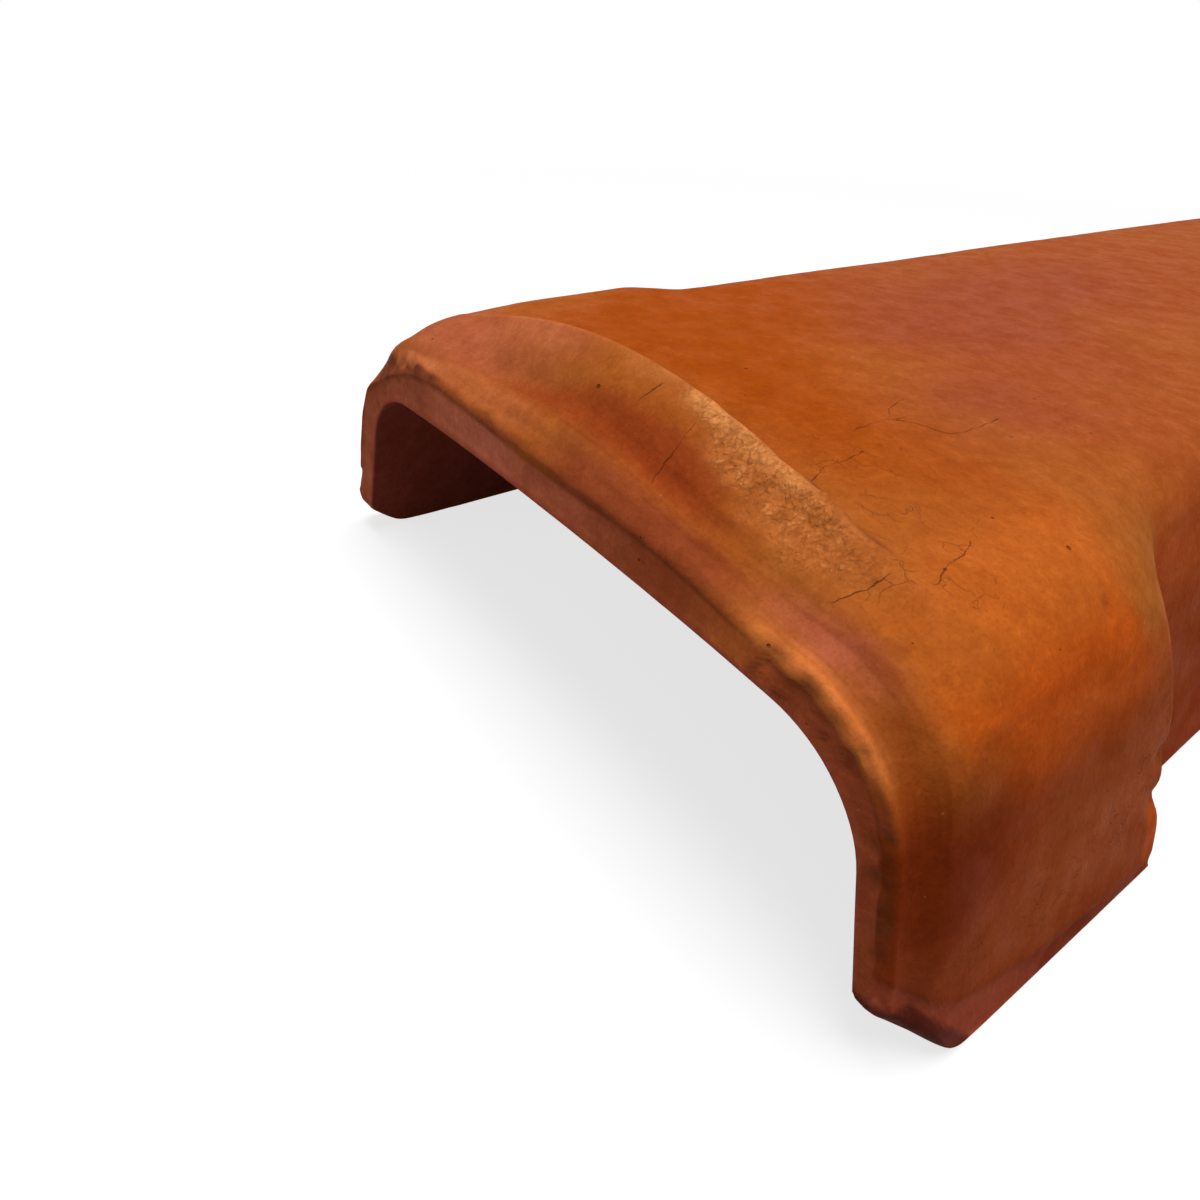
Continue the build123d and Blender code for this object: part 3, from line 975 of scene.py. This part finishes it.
def remap(value, low, high, to_low=0.0, to_high=1.0):
    """Smooth step: to_low below low, to_high above high, an S-curve between."""
    made = nodes.new("ShaderNodeMapRange")
    made.interpolation_type = "SMOOTHSTEP"
    amounts = {"Value": value, "From Min": low, "From Max": high, "To Min": to_low, "To Max": to_high}
    for name, amount in amounts.items():
        feed(made.inputs[name], amount)
    return made.outputs["Result"]


def blend(share, a, b, kind="MIX"):
    """Mix two colours by a share."""
    made = nodes.new("ShaderNodeMix")
    made.data_type, made.blend_type = "RGBA", kind
    feed(made.inputs["Factor"], share)
    feed(made.inputs[6], a)
    feed(made.inputs[7], b)
    return made.outputs[2]


def noise(size, detail):
    """Noise whose lumps are about this many millimetres wide; detail adds finer lumps to them."""
    made = nodes.new("ShaderNodeTexNoise")
    links.new(object_place, made.inputs["Vector"])
    made.inputs["Scale"].default_value = 1 / (size * MM)
    made.inputs["Detail"].default_value = detail
    return made.outputs["Fac"]


def stored(name, output="Fac"):
    """Read one of the skin's own attributes."""
    made = nodes.new("ShaderNodeAttribute")
    made.attribute_name = name
    return made.outputs[output]


print("helpers ready, material", clay.name)

# %% [markdown]
# Mottling multiplies the tone by factors round 1, so that it darkens or lightens any tone alike. Each
# line of the table below is one tint, driven by noise of its own size.

# %% Mottling and grain
mottle, clouds, grain, dust = noise(7.0, 3.0), noise(2.8, 2.0), noise(1.1, 2.0), noise(0.45, 0.0)
# Each tint has its noise, the values where it starts and where it is full, its strength and its factor.
TINTS = [
    (mottle, 0.35, 0.68, 0.30, (0.78, 0.66, 0.60, 1)),
    (clouds, 0.50, 0.70, 0.60, (1.16, 1.20, 1.24, 1)),
    (clouds, 0.48, 0.30, 0.60, (0.88, 0.83, 0.80, 1)),
    (grain, 0.42, 0.72, 0.40, (1.22, 1.30, 1.45, 1)),
    (dust, 0.50, 0.75, 0.30, (0.72, 0.62, 0.60, 1)),
]
colour = stored("broad_tone", "Color")
for pattern, start, full, strength, factor in TINTS:
    colour = blend(remap(pattern, start, full, 0.0, strength), colour, factor, "MULTIPLY")
print(len(TINTS), "tints over the broad tones")

# %% [markdown]
# Grit is a Voronoi pattern: each cell has a seed point and a random colour, so a small disc round the
# seed, kept only where the cell's random value is high, gives scattered specks. Dark specks are pits
# and pale ones are sand.

# %% Pits and sand
PIT_DARK, SAND_PALE = (0.10, 0.024, 0.008, 1), (0.66, 0.28, 0.10, 1)


def specks(size, radius, rarity):
    """Share 1 inside scattered discs: cells of this size, discs of this radius, both in millimetres."""
    made = nodes.new("ShaderNodeTexVoronoi")
    links.new(object_place, made.inputs["Vector"])
    made.inputs["Scale"].default_value = 1 / (size * MM)
    disc = remap(made.outputs["Distance"], radius / size, 0.5 * radius / size)
    parts = nodes.new("ShaderNodeSeparateColor")
    links.new(made.outputs["Color"], parts.inputs[0])
    return times(disc, maths("GREATER_THAN", parts.outputs[0], rarity))


pits = maths("MAXIMUM", specks(4.4, 0.30, 0.84), specks(11.0, 0.55, 0.72))
sand = specks(2.3, 0.24, 0.80)
colour = blend(times(pits, 0.65), colour, PIT_DARK)
colour = blend(times(sand, 0.25), colour, SAND_PALE)
print(len(nodes), "nodes after the grit")

# %% [markdown]
# Before the lug the wet clay was rubbed sideways, which left fine streaks across the tile. Noise that is
# long along x and short along y gives them: plain noise on coordinates that are stretched first.

# %% Rubbed streaks
DRAG_DARK, DRAG_PALE = (0.72, 0.62, 0.58, 1), (1.20, 1.24, 1.20, 1)


def drawn_noise(sizes, detail=1.0, distortion=0.0):
    """Noise whose lumps are drawn out: their sizes along x, y and z are given in millimetres."""
    made = nodes.new("ShaderNodeTexNoise")
    drawn = nodes.new("ShaderNodeVectorMath")
    drawn.operation = "MULTIPLY"
    links.new(object_place, drawn.inputs[0])
    drawn.inputs[1].default_value = [1 / (size * MM) for size in sizes]
    links.new(drawn.outputs[0], made.inputs["Vector"])
    made.inputs["Scale"].default_value = 1.0
    made.inputs["Detail"].default_value = detail
    made.inputs["Distortion"].default_value = distortion
    return made.outputs["Fac"]


drag = drawn_noise((26.0, 1.5, 26.0))
rubbed_share = stored("rubbed_clay")
colour = blend(times(remap(drag, 0.50, 0.70), rubbed_share), colour, DRAG_DARK, "MULTIPLY")
colour = blend(times(remap(drag, 0.46, 0.28), rubbed_share), colour, DRAG_PALE, "MULTIPLY")
print(len(nodes), "nodes after the streaks")

# %% [markdown]
# The torn crest is wrinkled. A wrinkle is a valley where noise passes its middle value, and the noise
# is drawn out from front to back, the way the clay was dragged. Between the wrinkles lie crumbs: each
# Voronoi cell is high at its seed and low at its border. The crazed zones have faint hairlines, taken
# from the borders between bent Voronoi cells and broken up by noise.

# %% Folds, crumbs and hairlines
def bent_cells(size, lump, bend, feature="F1"):
    """Distance in a Voronoi pattern with cells of this many millimetres, bent by noise.

    The lumps of that noise and the reach of the bend are given as shares of the cells' size.
    """
    made = nodes.new("ShaderNodeTexVoronoi")
    made.feature = feature
    bent = nodes.new("ShaderNodeVectorMath")
    bent.operation = "MULTIPLY_ADD"
    lumps = nodes.new("ShaderNodeTexNoise")
    lumps.inputs["Scale"].default_value = 1 / (lump * size * MM)
    links.new(object_place, lumps.inputs["Vector"])
    links.new(lumps.outputs["Color"], bent.inputs[0])
    bent.inputs[1].default_value = [bend * size * MM] * 3
    links.new(object_place, bent.inputs[2])
    links.new(bent.outputs[0], made.inputs["Vector"])
    made.inputs["Scale"].default_value = 1 / (size * MM)
    return made.outputs["Distance"]


def folds(sizes):
    """Wrinkles: 0 in the valleys where drawn-out noise passes its middle value, 1 between them."""
    return remap(maths("ABSOLUTE", maths("SUBTRACT", drawn_noise(sizes, 2.0, 0.3), 0.5)), 0.0, 0.12)


def crumbs(size):
    """Rounded crumbs of this size: 1 at each cell's seed and 0 at its border."""
    return remap(bent_cells(size, 1.4, 1.2), 0.75, 0.10)


def hairlines(size, width):
    """Share 1 on the borders between cells of this size, broken where noise is low."""
    border = bent_cells(size, 0.6, 0.9, "DISTANCE_TO_EDGE")
    line = remap(border, width / size, 0.3 * width / size)
    return times(line, remap(noise(0.8 * size, 2.0), 0.50, 0.62))


wrinkle = times(folds((2.6, 5.0, 3.6)), 0.35)
wrinkle = maths("ADD", wrinkle, times(crumbs(1.1), 0.40))
wrinkle = maths("ADD", wrinkle, times(folds((1.2, 2.2, 1.6)), 0.25))
print(len(nodes), "nodes after the wrinkles")

# %% [markdown]
# Furrows on the torn crest are painted dark brown as shade, and lumps pale gold as painted glints. A
# crack is drawn where the stored distance passes zero, after noise has made it wander, and noise also
# makes it thick and thin.

# %% Colour of the torn crest and of the cracks
FURROW_BROWN, LUMP_GOLD = (0.26, 0.062, 0.012, 1), (0.82, 0.36, 0.12, 1)
CRACK_DARK = (0.12, 0.026, 0.007, 1)
torn_share, crazed_share = stored("torn_clay"), stored("crazed_clay")
# Painted shade in the furrows and painted glints on the lumps of the torn crest.
furrow_shade = times(remap(wrinkle, 0.50, 0.12), torn_share)
colour = blend(times(furrow_shade, 0.42), colour, FURROW_BROWN)
lump = times(remap(wrinkle, 0.66, 0.95), remap(torn_share, 0.2, 1.0))
colour = blend(times(lump, 0.36), colour, LUMP_GOLD)
craze = times(hairlines(5.0, 0.13), remap(crazed_share, 0.2, 0.8))
wander = times(maths("SUBTRACT", noise(2.2, 3.0), 0.5), 1.2)
gap = maths("ABSOLUTE", maths("ADD", stored("crack_gap"), wander))
show = stored("crack_show")
crack_width = remap(noise(3.5, 1.0), 0.3, 0.7, 0.03, 0.14)
crack_core = remap(gap, crack_width, times(crack_width, 0.5))
crack = times(crack_core, remap(show, 0.15, 0.55))
lines = maths("MAXIMUM", crack, times(craze, 0.36))
colour = blend(times(lines, 0.62), colour, CRACK_DARK)
links.new(colour, shader.inputs["Base Color"])
print(len(nodes), "nodes after the cracks")

# %% [markdown]
# Light finds the relief through the bump: all heights are added up in millimetres and given to one
# Bump node. The clay is dull, a little smoother in some patches than in others, and its sheen is weak,
# because fired clay drinks up light between its grains.

# %% Relief and sheen
SHEEN = 0.03
relief = times(grain, 0.10)
relief = maths("ADD", relief, times(times(wrinkle, torn_share), 0.30))
relief = maths("SUBTRACT", relief, times(pits, 0.35))
relief = maths("SUBTRACT", relief, times(lines, 0.30))
bump = nodes.new("ShaderNodeBump")
bump.inputs["Strength"].default_value = 1.0
bump.inputs["Distance"].default_value = MM
links.new(relief, bump.inputs["Height"])
links.new(bump.outputs["Normal"], shader.inputs["Normal"])
links.new(remap(mottle, 0.3, 0.7, 0.62, 0.78), shader.inputs["Roughness"])
shader.inputs["Specular IOR Level"].default_value = SHEEN
print(len(nodes), "nodes in the clay")

# %% [markdown]
# ## Floor, light and background
#
# The floor is a pale sheet. To the camera it shows as white with a light shadow under the tile, and
# far from the tile it turns to plain white, so that no horizon shows. For light that bounces it is
# a duller grey, so that the walls keep their depth.

# %% Floor
HALF_FLOOR, FLOOR_SINK = 6.0, 0.2
FLOOR_SIGNS = ((-1, -1), (1, -1), (1, 1), (-1, 1))
sheet = bpy.data.meshes.new("floor")
floor_corners = [(sx * HALF_FLOOR, sy * HALF_FLOOR, -FLOOR_SINK * MM) for sx, sy in FLOOR_SIGNS]
sheet.from_pydata(floor_corners, [], [(0, 1, 2, 3)])
floor = bpy.data.objects.new("floor", sheet)
bpy.context.collection.objects.link(floor)
print("floor", 2 * HALF_FLOOR, "m wide")

# %% [markdown]
# The floor's material mixes three surfaces. Light Path tells what kind of ray asks: one that the
# camera sees, directly or in a mirror or through glass, or one that only carries light. A shadow
# catcher would do the same for one picture, but this floor also looks right from every other side.

# %% Floor material
FLOOR_LIT, FLOOR_GLOW, FLOOR_BOUNCE = 0.32, 0.74, 0.22
SHADOW_END, WHITE_FROM = 0.35, 0.75
pale = bpy.data.materials.new("pale_floor")
pale.use_nodes = True
sheet.materials.append(pale)
nodes, links = pale.node_tree.nodes, pale.node_tree.links
nodes.clear()
object_place = nodes.new("ShaderNodeTexCoord").outputs["Object"]
reach = nodes.new("ShaderNodeVectorMath")
reach.operation = "LENGTH"
links.new(object_place, reach.inputs[0])
far_share = remap(reach.outputs["Value"], SHADOW_END, WHITE_FROM)


def shown_to_camera():
    """Share 1 for rays that the camera sees directly, in a mirror or through glass, and 0 for others."""
    seen = nodes.new("ShaderNodeLightPath")
    shown = maths("MAXIMUM", seen.outputs["Is Camera Ray"], seen.outputs["Is Glossy Ray"])
    return maths("MAXIMUM", shown, seen.outputs["Is Transmission Ray"])


def surface(kind, grey, strength=None):
    """A plain diffuse or emission shader of one grey."""
    made = nodes.new(kind)
    made.inputs["Color"].default_value = (grey, grey, grey, 1)
    if strength is not None:
        made.inputs["Strength"].default_value = strength
    return made.outputs[0]


def join(share, a, b):
    """Mix two shaders by a share."""
    made = nodes.new("ShaderNodeMixShader")
    feed(made.inputs[0], share)
    links.new(a, made.inputs[1])
    links.new(b, made.inputs[2])
    return made.outputs[0]


lit = nodes.new("ShaderNodeAddShader")
links.new(surface("ShaderNodeBsdfDiffuse", FLOOR_LIT), lit.inputs[0])
links.new(surface("ShaderNodeEmission", 1.0, FLOOR_GLOW), lit.inputs[1])
to_camera = join(far_share, lit.outputs[0], surface("ShaderNodeEmission", 1.0, 1.0))
out = nodes.new("ShaderNodeOutputMaterial")
to_light = surface("ShaderNodeBsdfDiffuse", FLOOR_BOUNCE)
links.new(join(shown_to_camera(), to_light, to_camera), out.inputs["Surface"])
print(len(nodes), "nodes in the floor")

# %% [markdown]
# The light is a plain studio: one large soft lamp overhead, a weak one in front that opens the shadow
# under the rim, and a world that is white to the camera but dim as a light. A brighter world would
# flatten the walls and wash out the colours, which are written about as they should look.

# %% World and lamps
WORLD_LIGHT = 0.17
world = bpy.data.worlds.new("studio")
bpy.context.scene.world = world
world.use_nodes = True
nodes, links = world.node_tree.nodes, world.node_tree.links
sky = nodes["Background"]
sky.inputs["Color"].default_value = (1, 1, 1, 1)
links.new(remap(shown_to_camera(), 0.0, 1.0, WORLD_LIGHT, 1.0), sky.inputs["Strength"])


def soft_box(name, place, aim, size, watts):
    """Square area lamp at place, turned so that its face looks at aim."""
    lamp = bpy.data.lights.new(name, "AREA")
    lamp.energy, lamp.size = watts, size
    box = bpy.data.objects.new(name, lamp)
    box.location = place
    box.rotation_euler = (Vector(aim) - Vector(place)).to_track_quat("-Z", "Y").to_euler()
    bpy.context.collection.objects.link(box)


soft_box("overhead", (0.12, -0.15, 1.5), (0, -0.1, 0.05), 1.0, 21)
soft_box("front fill", (-0.5, -1.3, 0.35), (0, -0.2, 0.03), 0.8, 2)
bpy.context.scene.view_settings.view_transform = "Standard"
